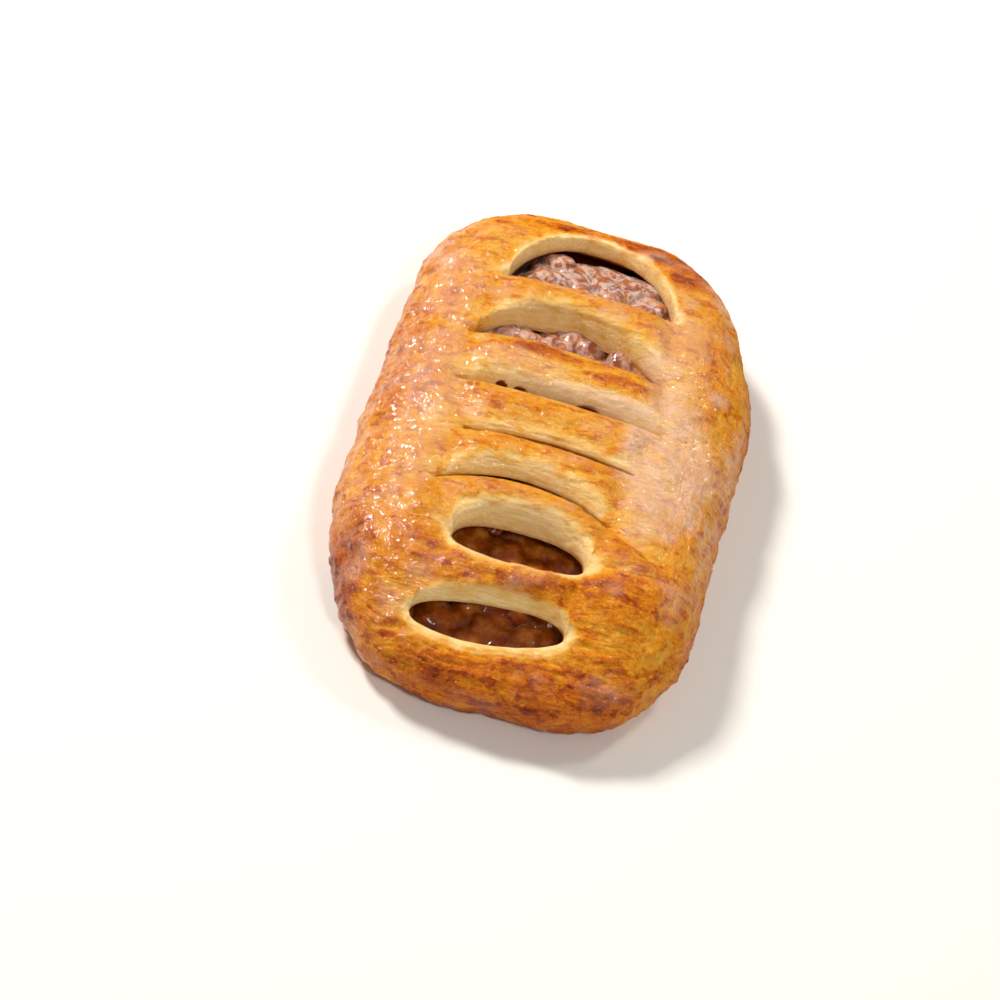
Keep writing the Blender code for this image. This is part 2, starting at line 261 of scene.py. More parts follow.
def lidStrip(before, after):
    # the outer surface from one slit to the next: the lid, less the dips along both slits, plus the
    # puff of the strip, all pressed down to the seam by the shoulder. Also the height up the walls
    rows = lid["endRows"] if None in (before, after) else lid["stripRows"]
    shares = eased(rows, 0.7)
    x, y = flatPlace(before, after, shares)
    u, v = x / outline["halfWidth"], y / outline["halfLength"]
    top, dip, climb, pale = lidTop(v), 0, np.ones_like(x), np.zeros_like(x)
    opened = smooth(0, 0.25, lens(1))
    for cut, side, away in ((before, "far", 1), (after, "near", -1)):
        if cut is not None:
            drop, up, apart = rollDown(cut, side, x, away * (y - slitEdge(cut, side, x)))
            dip, climb = dip + drop, np.minimum(climb, up)
            reach = cut["reach"][side == "far"]
            shown = np.maximum(opened, cut["ring"]) * smooth(reach, 0.0, apart) ** 0.7
            pale = np.maximum(pale, cut["pale"] * shown)
    if None not in (before, after):
        crown = np.maximum(0, 1 - (x / lid["puffHalfWidth"]) ** 2)
        top = top + lid["puff"] * crown * np.sin(np.pi * shares)[:, None]
        for tip in (x[:, firstColumn], x[:, lastColumn]):
            beyond = (x - tip[:, None]) / lid["valleyWidth"]
            top = top - lid["valley"] * np.exp(-beyond**2) * np.sin(np.pi * shares)[:, None]
    # browner on a strip's far half, paler towards its near half and at its far edge
    rise = smooth(0.1, 0.6, shares) - 0.9 * smooth(0.82, 1.0, shares) - 0.35
    rise = np.broadcast_to(rise[:, None] * (None not in (before, after)), x.shape)
    z = lid["seamHeight"] + (top - lid["seamHeight"] - dip) * shoulder(u, v)
    px, py = plan(u, v)
    return np.stack([px, py, np.maximum(lid["seamHeight"], z)], -1), climb, u, v, pale, rise


def pressed(value, limits):
    # unchanged up to the first limit, then pressed together to end at the second
    start, end = limits
    size = np.abs(value)
    beyond = start + (size - start) * (end - start) / (1 - start)
    return np.copysign(np.where(size > start, beyond, size), value)


def ceilingStrip(before, after):
    # the hollow's ceiling between two slits, one lip's thickness below their edges
    rows = hollow["endRows"] if None in (before, after) else hollow["stripRows"]
    shares = eased(rows)
    x, y = flatPlace(before, after, shares)
    deepest = np.zeros_like(x)
    if before is not None:
        deepest = rollDown(before, "far", x, 0)[0]
        y = y + hollow["undercut"] * lens(0.4) * (1 - shares[:, None]) ** 2
    if after is not None:
        deepest = np.maximum(deepest, rollDown(after, "near", x, 0)[0])
        y = y - hollow["undercut"] * lens(0.4) * shares[:, None] ** 2
    u, v = x / outline["halfWidth"], y / outline["halfLength"]
    top = np.minimum(hollow["ceiling"], lidTop(v) - deepest - hollow["lip"])
    z = hollow["seam"] + (top - hollow["seam"]) * shoulder(u, v)
    px, py = plan(pressed(u, hollow["acrossLimits"]), pressed(v, hollow["alongLimits"]))
    return np.stack([px, py, z], -1)


def normalsOf(grid):
    # outward normals of a grid of points, from the directions to its neighbours
    byRow, byColumn = np.gradient(grid, axis=0), np.gradient(grid, axis=1)
    normal = np.cross(byColumn, byRow)
    return normal / np.maximum(1e-9, np.linalg.norm(normal, axis=-1, keepdims=True))


def quadsOver(grid, left=None):
    # faces over a grid of point numbers, apart from those left out
    corners = np.stack([grid[:-1, :-1], grid[:-1, 1:], grid[1:, 1:], grid[1:, :-1]], -1)
    return corners.reshape(-1, 4) if left is None else corners[~left]


def bridge(first, second):
    # faces between two closed loops of point numbers
    return np.column_stack([first, np.roll(first, -1), np.roll(second, -1), second])


def rimOf(grid):
    # the outline of a grid of point numbers as one loop, clockwise seen from above
    return np.concatenate([grid[:, 0], grid[-1, 1:], grid[-2::-1, -1], grid[0, -2:0:-1]])


def linear(hexColour):
    # sRGB hex to the linear colour that the shaders work in
    parts = [int(hexColour[i:i + 2], 16) / 255 for i in (1, 3, 5)]
    return tuple(c / 12.92 if c < 0.04045 else ((c + 0.055) / 1.055) ** 2.4 for c in parts) + (1,)


def setInputs(tree, node, inputs):
    # each input is linked to another node's output or set to a value
    for name, value in inputs.items():
        if isinstance(value, bpy.types.NodeSocket):
            tree.links.new(value, node.inputs[name])
        else:
            node.inputs[name].default_value = value


def addNode(tree, kind, inputs=None, **settings):
    # a shader node with its settings, and its inputs either set or linked
    made = tree.nodes.new("ShaderNode" + kind)
    for name, value in settings.items():
        setattr(made, name, value)
    setInputs(tree, made, inputs or {})
    return made


def cellScale(*sizes):
    # a pattern's scale from the size in mm of its cells along x, y and z
    return tuple(1 / (size * mm) for size in sizes)


def newMaterial(name):
    # a material, its node tree and its shader
    material = bpy.data.materials.new(name)
    material.use_nodes = True
    tree = material.node_tree
    return material, tree, tree.nodes["Principled BSDF"]


def setRamp(ramp, stops):
    # colours along a ramp, each as (place, hex colour)
    elements = ramp.color_ramp.elements
    while len(elements) < len(stops):
        elements.new(0.5)
    for element, (place, colour) in zip(elements, stops):
        element.position = place
        element.color = linear(colour)
    return ramp.outputs["Color"]


def buildPiece(name, points, faces, material, attributes=None):
    # a mesh object from an array of points in mm and a list of face arrays
    mesh = bpy.data.meshes.new(name)
    mesh.vertices.add(len(points))
    mesh.vertices.foreach_set("co", (points * mm).astype(np.float32).ravel())
    corners = np.concatenate([block.ravel() for block in faces])
    sizes = np.concatenate([np.full(len(block), block.shape[1]) for block in faces])
    mesh.loops.add(len(corners))
    mesh.loops.foreach_set("vertex_index", corners.astype(np.int32))
    mesh.polygons.add(len(sizes))
    mesh.polygons.foreach_set("loop_start", (np.cumsum(sizes) - sizes).astype(np.int32))
    mesh.update(calc_edges=True)
    mesh.validate()
    mesh.shade_smooth()
    for key, values in (attributes or {}).items():
        layer = mesh.attributes.new(key, "FLOAT", "POINT")
        layer.data.foreach_set("value", values.astype(np.float32))
    mesh.materials.append(material)
    piece = bpy.data.objects.new(name, mesh)
    bpy.context.scene.collection.objects.link(piece)
    print(name, len(points), "points,", int((sizes - 2).sum()), "triangles")
    return piece


# The crust: how deep its relief is in mm, where the oven browned it and where the glaze lies
crust = {
    "lumps": 0.75,
    "wrinkles": 0.30,
    "ridges": 0.45,
    "blisters": 0.55,
    "layers": 0.65,
    "wallLayers": 0.05,
    "stripShading": 0.11,
    "filmThickness": 0.22,
    "wallLayerCount": 5,
    # zones: where each starts and where it is full
    "stripSides": (31, 25),
    "stripNear": (-40, -30),
    "stripFar": (64, 56),
    "fibreTurnsAt": (26, 31),
    "fibreEndsAt": (68, 60),
    "roughNear": (-25, -60),
    "roughRight": (-30, 10),
    "wetLeft": (-10, -34),
    "dryFarEnd": (54, 65),
    "dryRight": (32, 40),
    "dryRightAlong": (5, 25),
    # patches: middle, reach, how much browner
    "brown": [
        ((-7, 17), (11, 3.0), 0.24),
        ((12, 13.3), (9, 2.6), 0.26),
        ((3, 66), (22, 5.0), 0.26),
        ((20, 60), (14, 7.0), 0.24),
        ((8, -74), (32, 8.0), 0.12),
        ((5, -55), (10, 4.0), 0.10),
        ((-39, -58), (7, 24.0), 0.20),
        ((-37, 8), (8, 30.0), 0.08),
        ((36, -60), (10, 14.0), -0.08),
        ((40, 10), (7, 40.0), -0.05),
    ],
    # painted shade: middle and reach of small dark gaps, whose dark openings are drawn as darker dough
    "paintedGapShades": [((5.0, 6.0), (4.2, 1.1)), ((-10.5, 6.4), (2.2, 0.8)), ((-15.0, 6.3), (1.8, 0.7))],
    # patches: middle, reach, thickness of the milky film
    "film": [
        ((26, -4), (13, 34.0), 0.9),
        ((24, 32), (9, 14.0), 0.4),
        ((-30, -8), (8, 40.0), 0.4),
        ((-31, 34), (7, 18.0), 0.3),
        ((-12, 12), (18, 4.0), 0.4),
        ((8, 7.5), (20, 3.0), 0.9),
        ((19, 24), (9, 5.0), 0.8),
    ],
}

stops = [None, *slits, None]
strips = [lidStrip(before, after) for before, after in zip(stops, stops[1:])]
lidPoints = np.vstack([part[0] for part in strips])
lidNormals = np.vstack([normalsOf(part[0]) for part in strips])
climb, lidU, lidV, pale, rise = [np.vstack([part[k] for part in strips]) for k in range(1, 6)]
middle = (lidPoints.min(axis=(0, 1)) + lidPoints.max(axis=(0, 1))) / 2 * [1, 1, 0]
lidPoints = lidPoints - middle

# rows of the lid where each slit is cut
lidRowCounts = np.array([len(part[0]) for part in strips])
cutRows = np.cumsum(lidRowCounts)[:-1] - 1


def crustLook(points, wall, edge):
    # relief in mm along the normal, the shares of browning, cut dough, milky film and wetness, and the
    # painted shade of small dark gaps.
    # wall is 1 at a slit's edge and 0 on the crest above it, edge is 1 on the outer side
    x, y, z = points[..., 0], points[..., 1], points[..., 2]

    def zone(name, value):
        return smooth(*crust[name], value)

    film = np.zeros_like(x)
    ragged = roughNoise(points, 7, 11, 4)
    for centre, reach, strength in crust["film"]:
        film = np.maximum(film, strength * smooth(0.0, 0.7, patch(x, y, centre, reach) + 0.4 * ragged))
    film = film * (1 - 0.7 * edge)

    # the dough is rough and dry at the near right, wet and wrinkled along the left, and the strips
    # between the slits are smooth
    strip = zone("stripSides", np.abs(x)) * zone("stripNear", y) * zone("stripFar", y) * (1 - edge)
    rough = np.clip(0.3 + zone("roughNear", y) * zone("roughRight", x) + 0.6 * edge - 0.3 * strip, 0, 1)
    dry = 0.7 * zone("dryFarEnd", y) + 0.6 * zone("dryRight", x) * zone("dryRightAlong", y)
    wet = np.clip(0.75 + 0.3 * zone("wetLeft", x) - 0.5 * rough + 0.4 * film - 0.1 * strip - dry, 0, 1)

    # the fibres of the dough run along the slits, and lengthways on both borders
    sideways = zone("fibreTurnsAt", np.abs(x)) * zone("fibreEndsAt", np.abs(y))
    lengthFibre = roughNoise(points * [1 / 8, 1 / 1.4, 1 / 1.4], 1, 21)
    widthFibre = roughNoise(points * [1 / 1.7, 1 / 6, 1 / 1.7], 1, 25)
    fibre = lengthFibre + (widthFibre - lengthFibre) * sideways
    bubbles = np.maximum(0, 1 - 1.3 * nearestSeed(points, 2.8, 31)) ** 1.2
    small = np.maximum(0, 1 - 1.3 * nearestSeed(points, 1.3, 32)) ** 1.2
    ridge = 1 - 2 * np.abs(softNoise(points, 2.6, 35)) + 0.5 * softNoise(points, 1.0, 36)
    layer = (z + 0.9 * softNoise(points, 9, 41) + 0.3 * softNoise(points, 2.5, 42)) / 1.15
    terrace = (layer % 1 - 0.5) * smooth(-0.3, 0.5, softNoise(points, 8, 43))

    bare = (1 - wall) * (1 - 0.75 * film)
    lumpy = softNoise(points, 13, 51) + 0.4 * softNoise(points, 5, 52)
    relief = crust["lumps"] * lumpy * (1 - wall) * (1 - 0.5 * strip)
    relief += crust["wrinkles"] * fibre * bare
    relief += crust["blisters"] * rough * (bubbles + 0.4 * small) * bare
    relief += crust["ridges"] * wet * ridge * (1 - wall) * (1 - 0.5 * film) * (1 - 0.6 * strip)
    relief += crust["layers"] * edge * (terrace + 0.7 * roughNoise(points, 6, 44))
    relief += crust["filmThickness"] * film

    broken = 0.75 + 0.5 * roughNoise(points, 4, 53)
    bake = 0.45 + 0.05 * ragged + 0.06 * fibre + 0.10 * bubbles * rough - 0.08 * strip
    for centre, reach, strength in crust["brown"]:
        bake += strength * smooth(0.0, 0.8, patch(x, y, centre, reach)) * broken
    # the lower outer sides are browner: partly the oven's colour, partly painted shade near the floor
    bake += 0.05 * edge - 0.05 * film
    # painted shade: small dark gaps where the glaze hasn't closed the third slit from the far end are
    # drawn as darker, matt dough without film
    paintedGapShade = np.zeros_like(x)
    for centre, reach in crust["paintedGapShades"]:
        paintedGapShade = np.maximum(paintedGapShade, smooth(0.0, 0.5, patch(x, y, centre, reach)))
    bake, film, wet = bake + 1.2 * paintedGapShade, film * (1 - paintedGapShade), wet * (1 - paintedGapShade)
    return relief, {"bake": bake, "film": film, "wet": wet, "side": sideways}, paintedGapShade


edge = smooth(18, 12, lidPoints[..., 2]) * smooth(0.8, 0.95, np.maximum(np.abs(lidU), np.abs(lidV)))
lidWall = smooth(0.25, 0.55, 1 - climb)
relief, look, paintedGapShade = crustLook(lidPoints, lidWall, edge)
wallLine = climb * crust["wallLayerCount"] + 0.8 * softNoise(lidPoints, 6, 61)
relief += crust["wallLayers"] * lidWall * np.sin(2 * np.pi * wallLine)
look["bake"] = look["bake"] + crust["stripShading"] * rise * smooth(0.85, 0.6, np.abs(lidU))
# no cut dough shows where the dark gaps are painted as shade
cut = np.clip(pale * (1 + 0.3 * roughNoise(lidPoints, 2.5, 62)), 0, 1) * (1 - paintedGapShade)
lidShaped = lidPoints + lidNormals * relief[..., None]
print("lid shaped")

ceiling = np.vstack([ceilingStrip(before, after) for before, after in zip(stops, stops[1:])]) - middle
ceilingCounts = np.array([hollow["stripRows"] + 1] * len(strips))
ceilingCounts[[0, -1]] = hollow["endRows"] + 1
ceilingCuts = np.cumsum(ceilingCounts)[:-1] - 1

blocks, faces, looks = [], [], {key: [] for key in ("bake", "film", "wet", "side", "cut")}
paintedShadeInside = {"bake": 1.1, "film": 0, "wet": 0.1, "side": 0, "cut": 0}  # painted shade: the hollow's inside, and the slit walls down to it, drawn dark brown so that the openings look shaded


def addBlock(points, **values):
    # adds points and their look to the crust, and returns their numbers in the same arrangement
    start = sum(len(block) for block in blocks)
    blocks.append(points.reshape(-1, 3))
    for key in looks:
        looks[key].append(np.broadcast_to(values[key], points.shape[:-1]).ravel())
    return start + np.arange(points.size // 3).reshape(points.shape[:-1])


def openingsIn(grid, rows):
    # True for the faces that the slits leave out
    left = np.zeros((grid.shape[0] - 1, grid.shape[1] - 1), bool)
    for row in rows:
        left[row, firstColumn:lastColumn] = True
    return left


def slitLoop(grid, row):
    # the point numbers round a slit: along its near edge and back along its far edge
    near = grid[row, firstColumn:lastColumn + 1]
    far = grid[row + 1, firstColumn:lastColumn + 1]
    return np.concatenate([near, far[::-1]])


lidGrid = addBlock(lidShaped, cut=cut, **look)
faces.append(quadsOver(lidGrid, openingsIn(lidGrid, cutRows)))
ceilingGrid = addBlock(ceiling, **paintedShadeInside)
faces.append(quadsOver(ceilingGrid, openingsIn(ceilingGrid, ceilingCuts))[:, ::-1])
# the slit walls run from the lid's colours down into the dark painted shade inside
for outer, inner in zip(cutRows, ceilingCuts):
    faces.append(bridge(slitLoop(lidGrid, outer), slitLoop(ceilingGrid, inner)))

# The foot curves in under the seam as a quarter round and ends in the flat underside. Its relief
# points away from an oval of these half sizes
foot = {"rings": 8, "ovalHalf": (42, 75)}
seam = lidPoints.reshape(-1, 3)[rimOf(np.arange(lidPoints.size // 3).reshape(lidPoints.shape[:2]))]
rim = rimOf(lidGrid)
for step in range(1, foot["rings"] + 1):
    angle = math.pi / 2 * step / foot["rings"]
    inset = lid["footInset"] * (1 - math.cos(angle))
    shrink = [1 - inset / outline["halfWidth"], 1 - inset / outline["halfLength"], 1 - math.sin(angle)]
    ring = seam * shrink
    outward = ring / [*foot["ovalHalf"], 1] * [1, 1, 0]
    outward = outward / np.linalg.norm(outward, axis=1, keepdims=True)
    relief, look, paintedGapShade = crustLook(ring, np.zeros(len(ring)), np.ones(len(ring)))
    lower = addBlock(ring + outward * relief[:, None] * [1, 1, 0], cut=0, **look)
    faces.append(bridge(rim, lower))
    rim = lower
centre = addBlock(np.zeros((1, 3)), bake=0.6, film=0, wet=0, side=0, cut=0)
faces.append(np.column_stack([rim, np.roll(rim, -1), np.full(len(rim), centre[0])]))

# The hollow's walls lead down to its floor
rim = rimOf(ceilingGrid)
share = hollow["floorShare"]
floorPoints = np.concatenate(blocks)[rim] * [share, share, 0] + [0, 0, hollow["floor"]]
floorLoop = addBlock(floorPoints, **paintedShadeInside)
faces.append(bridge(floorLoop, rim))
centre = addBlock(np.array([[0, 0, hollow["floor"]]]), **paintedShadeInside)
turned = floorLoop[::-1]
faces.append(np.column_stack([turned, np.roll(turned, -1), np.full(len(rim), centre[0])]))


def flakyDough():
    # Laminated dough, egg-washed and baked: hundreds of thin layers that crisp to gold, with brown
    # blisters where they lift, cream where a cut shows them, under a glossy wash
    material, tree, shader = newMaterial("bakedFlakyDough")
    place = addNode(tree, "TexCoord").outputs["Object"]
    reads = {key: addNode(tree, "Attribute", attribute_name=key).outputs["Fac"] for key in looks}
    blotch = addNode(tree, "TexNoise", {"Vector": place, "Scale": 1 / (3.4 * mm), "Detail": 6.0,
                                        "Roughness": 0.62, "Distortion": 0.6})
    speck = addNode(tree, "TexNoise", {"Vector": place, "Scale": 1 / (0.8 * mm), "Detail": 6.0,
                                       "Roughness": 0.7})
    spread = addNode(tree, "MapRange", {"Value": blotch.outputs["Fac"], "From Min": 0.32,
                                        "From Max": 0.68, "To Min": -0.08, "To Max": 0.08})
    grain = addNode(tree, "MapRange", {"Value": speck.outputs["Fac"], "From Min": 0.3, "From Max": 0.7,
                                       "To Min": -0.09, "To Max": 0.09})

    # patches where the top layer lifted and caught the heat, with ragged edges
    patchy = addNode(tree, "Mapping", {"Vector": place, "Scale": cellScale(4.348, 2.381, 2.381)})
    lifted = addNode(tree, "TexNoise", {"Vector": patchy.outputs[0], "Scale": 1.0, "Detail": 7.0,
                                        "Roughness": 0.6, "Distortion": 0.3})
    caught = addNode(tree, "MapRange", {"Value": lifted.outputs["Fac"], "From Min": 0.53, "From Max": 0.61,
                                        "To Min": 0.0, "To Max": 0.17})

    # flakes: long patches of noise cut into steps, whose sharp sides are the edges of torn layers.
    # They run along the slits, and lengthways on the borders
    flakes = []
    for scale in (cellScale(6.667, 2.0833, 2.0833), cellScale(2.5, 4.5455, 2.5)):
        drawn = addNode(tree, "Mapping", {"Vector": place, "Scale": scale})
        flakes.append(addNode(tree, "TexNoise", {"Vector": drawn.outputs[0], "Scale": 1.0, "Detail": 4.0,
                                                 "Roughness": 0.55, "Distortion": 0.4}).outputs["Fac"])
    flake = addNode(tree, "Mix", {0: reads["side"], 2: flakes[0], 3: flakes[1]}, data_type="FLOAT")
    stacked = addNode(tree, "Math", {0: flake.outputs[0], 1: 8.0}, operation="MULTIPLY")
    step = addNode(tree, "Math", {0: stacked.outputs[0]}, operation="FRACT")
    shade = addNode(tree, "MapRange", {"Value": step.outputs[0], "To Min": -0.05, "To Max": 0.05})

    browning = reads["bake"]
    for part in (spread, grain, caught, shade):
        browning = addNode(tree, "Math", {0: browning, 1: part.outputs[0]}, operation="ADD").outputs[0]
    browning = addNode(tree, "Math", {0: reads["cut"], 1: -0.34, 2: browning}, operation="MULTIPLY_ADD")
    golden = setRamp(addNode(tree, "ValToRGB", {"Fac": browning.outputs[0]}), [
        (0.08, "#EEC680"), (0.28, "#E8AA3C"), (0.44, "#E08D08"), (0.58, "#CB6A02"),
        (0.74, "#A34302"), (0.92, "#682402")])

    # cut layers lie along the slits, some 0.4 mm apart
    stretched = addNode(tree, "Mapping", {"Vector": place, "Scale": cellScale(5.0, 0.38462, 0.38462)})
    layer = addNode(tree, "TexNoise", {"Vector": stretched.outputs[0], "Scale": 1.0, "Detail": 2.0})
    cream = setRamp(addNode(tree, "ValToRGB", {"Fac": layer.outputs["Fac"]}), [
        (0.25, "#EEBC66"), (0.50, "#F8D592"), (0.75, "#FFEAB8")])
    bare = addNode(tree, "MapRange", {"Value": reads["cut"], "From Min": 0.35, "From Max": 0.85,
                                      "To Max": 0.85})
    dough = addNode(tree, "Mix", {0: bare.outputs[0], 6: golden, 7: cream}, data_type="RGBA")
    thin = addNode(tree, "MapRange", {"Value": blotch.outputs["Fac"], "From Min": 0.35, "From Max": 0.65,
                                      "To Min": 0.3, "To Max": 0.75})
    veil = addNode(tree, "Math", {0: reads["film"], 1: thin.outputs[0]}, operation="MULTIPLY")
    coated = addNode(tree, "Mix", {0: veil.outputs[0], 6: dough.outputs[2], 7: linear("#F0CDB4")},
                     data_type="RGBA")

    # the wetter it is, the glossier the dough and the thicker its wash
    dull = addNode(tree, "MapRange", {"Value": reads["wet"], "To Min": 0.6, "To Max": 0.3})
    washed = addNode(tree, "MapRange", {"Value": reads["wet"], "From Min": 0.05})

    crisp = addNode(tree, "TexNoise", {"Vector": place, "Scale": 1 / (1.0 * mm), "Detail": 5.0,
                                       "Roughness": 0.6, "Distortion": 0.6})
    # cut dough is smoother
    relief = addNode(tree, "MapRange", {"Value": reads["cut"], "To Min": 0.8, "To Max": 0.25}).outputs[0]
    bump = addNode(tree, "Bump", {"Height": crisp.outputs["Fac"], "Strength": relief,
                                  "Distance": 0.5 * mm})
    torn = addNode(tree, "Bump", {"Height": step.outputs[0], "Normal": bump.outputs[0], "Strength": relief,
                                  "Distance": 0.16 * mm})
    # the wash dries in ripples some 2 mm apart, so that a lamp shows in it as small bright squiggles
    ripple = addNode(tree, "TexNoise", {"Vector": place, "Scale": 1 / (2.1 * mm), "Detail": 2.0,
                                        "Distortion": 1.4})
    swim = addNode(tree, "Bump", {"Height": ripple.outputs["Fac"], "Strength": 1.0, "Distance": 0.7 * mm})
    setInputs(tree, shader, {
        "Base Color": coated.outputs[2],
        "Roughness": dull.outputs[0],
        "Specular IOR Level": 0.12,
        "Coat Weight": washed.outputs[0],
        "Coat Roughness": 0.04,
        "Coat IOR": 1.5,
        "Subsurface Weight": 0.05,
        "Subsurface Radius": (1.0, 0.5, 0.2),
        "Subsurface Scale": 1.5 * mm,
        "Normal": torn.outputs[0],
        "Coat Normal": swim.outputs[0],
    })
    return material


crustPiece = buildPiece("bakedCrust", np.concatenate(blocks), faces, flakyDough(),
                        {key: np.concatenate(values) for key, values in looks.items()})
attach(crustPiece, "root")
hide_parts("pastry_crust")

# The filling: heights in mm of the jelly under each slit, and the cut fruit that lies in it.
# Each bed of fruit has the y range it fills, half its length in x, the height of the fruit's
# middles at its near and far side, how many pieces, and how much icing lies over them
filling = {
    "seam": 7.3,
    "bottom": 4.8,
    "acrossShare": 0.81,
    "alongShare": 0.88,
    "floorShare": 0.90,
    "jelly": 12.0,
    "softness": 0.7,
    "beds": [
        {"y": (-72, -56), "x": (-26, 18), "height": (9.8, 11.0), "count": 20, "iced": 0.0},
        {"y": (-53, -32), "x": (-22, 18), "height": (10.6, 12.0), "count": 22, "iced": 0.0},
        {"y": (-30, 14), "x": (-28, 28), "height": (10.5, 11.5), "count": 26, "iced": 0.2},
        {"y": (17, 33), "x": (-24, 24), "height": (15.4, 17.2), "count": 22, "iced": 0.8},
        {"y": (41, 62), "x": (-13, 22), "height": (16.2, 18.6), "count": 26, "iced": 1.0},
    ],
    "looseness": 0.35,  # how far a piece may lie from its place on the grid
    "heightSpread": 0.8,
    "halfSizes": ((4.0, 6.8), (2.8, 4.4), (2.6, 3.8)),
    "steepest": 0.25,
    # the mesh's rows and columns are closest under the open slits: start, end and spacing
    "rows": [(-1.0, -0.62, 0.0062), (-0.62, -0.24, 0.0065), (-0.24, 0.24, 0.02),
             (0.24, 0.56, 0.0062), (0.56, 0.98, 0.0055), (0.98, 1.0, 0.01)],
    "columns": [(-1.0, -0.75, 0.03), (-0.75, 0.75, 0.0105), (0.75, 1.0, 0.03)],
}


def fruitPieces():
    # pieces of fruit cut by hand: middle, half sizes, turn, tilts and icing of each, spread over
    # each bed on a loose grid so that they touch but don't pile up
    draw = np.random.default_rng(7)
    pieces = []
    loose, steep, spread = [filling[key] for key in ("looseness", "steepest", "heightSpread")]
    for bed in filling["beds"]:
        (nearY, farY), (leftX, rightX) = bed["y"], bed["x"]
        columns = max(1, round(math.sqrt(bed["count"] * (rightX - leftX) / (farY - nearY))))
        rows = max(1, round(bed["count"] / columns))
        for number in range(columns * rows):
            column, row = number % columns, number // columns
            shareX = (column + 0.5 + draw.uniform(-loose, loose)) / columns
            shareY = (row + 0.5 + draw.uniform(-loose, loose)) / rows
            low, high = bed["height"]
            pieces.append({
                "x": leftX + shareX * (rightX - leftX),
                "y": nearY + shareY * (farY - nearY),
                "z": low + (high - low) * shareY + draw.uniform(-spread, spread),
                "half": [draw.uniform(*limits) for limits in filling["halfSizes"]],
                "turn": draw.uniform(0, math.pi),
                "tilt": (draw.uniform(-steep, steep), draw.uniform(-steep, steep)),
                "iced": bed["iced"],
            })
    return pieces


def fruitTop(x, y):
    # height of the filling: the jelly, and the rounded tops of the fruit, blended where they meet.
    # A fruit's top is its middle plus its half height times a rounded box's profile
    # Heights are blended as the softness times the logarithm of their exponentials' sum
    k, base = filling["softness"], filling["jelly"]
    level = base + 0.5 * np.sin(x / 3.1) * np.sin(y / 2.7)
    total = np.exp((level - base) / k)
    fruit, iced = np.zeros_like(x), np.zeros_like(x)
    best = level.copy()
    for piece in fruitPieces():
        dx, dy = x - piece["x"], y - piece["y"]
        turned = dx * math.cos(piece["turn"]) + dy * math.sin(piece["turn"])
        crossed = dy * math.cos(piece["turn"]) - dx * math.sin(piece["turn"])
        halfX, halfY, halfZ = piece["half"]
        reach = (np.abs(turned / halfX) ** 3 + np.abs(crossed / halfY) ** 3) ** (1 / 3)
        profile = np.sqrt(np.maximum(0, 1 - np.minimum(1, reach) ** 4))
        top = piece["z"] + halfZ * profile + piece["tilt"][0] * turned + piece["tilt"][1] * crossed
        top = np.where(reach < 1, top, piece["z"] - 6 * (reach - 1))
        total += np.exp((top - base) / k)
        higher = top > best
        fruit = np.where(higher, 1.0, fruit)
        iced = np.where(higher, piece["iced"], iced)
        best = np.maximum(best, top)
    return base + k * np.log(total), fruit, iced


def evenSteps(stretches):
    # coordinates along an axis: (start, end, spacing) for each stretch, laid end to end
    parts = [np.linspace(start, end, max(2, round((end - start) / step)), endpoint=False)
             for start, end, step in stretches]
    return np.append(np.concatenate(parts), stretches[-1][1])


def fruitFilling():
    # the filling as one closed surface: the top over a grid, walls down to the foot, and the flat bottom
    u, v = np.meshgrid(evenSteps(filling["columns"]), evenSteps(filling["rows"]))
    x, y = plan(filling["acrossShare"] * u, filling["alongShare"] * v)
    x, y = x - middle[0], y - middle[1]
    top, fruit, iced = fruitTop(x, y)
    z = filling["seam"] + (top - filling["seam"]) * shoulder(u, v)
    spots = np.stack([x, y, z], -1)
    z = z + 0.12 * roughNoise(spots, 1.6, 71)
    top = np.stack([x, y, z], -1)
    numbers = np.arange(x.size).reshape(x.shape)
    ring = rimOf(numbers)
    share = filling["floorShare"]
    footPoints = top.reshape(-1, 3)[ring] * [share, share, 0] + [0, 0, filling["bottom"]]
    foot = x.size + np.arange(len(ring))
    centre = x.size + len(ring)
    points = np.concatenate([top.reshape(-1, 3), footPoints, [[0, 0, filling["bottom"]]]])
    faces = [quadsOver(numbers), bridge(ring, foot),
             np.column_stack([foot, np.roll(foot, -1), np.full(len(foot), centre)])]
    extra = np.zeros(len(ring) + 1)
    return points, faces, {"fruit": np.append(fruit, extra), "iced": np.append(iced, extra)}


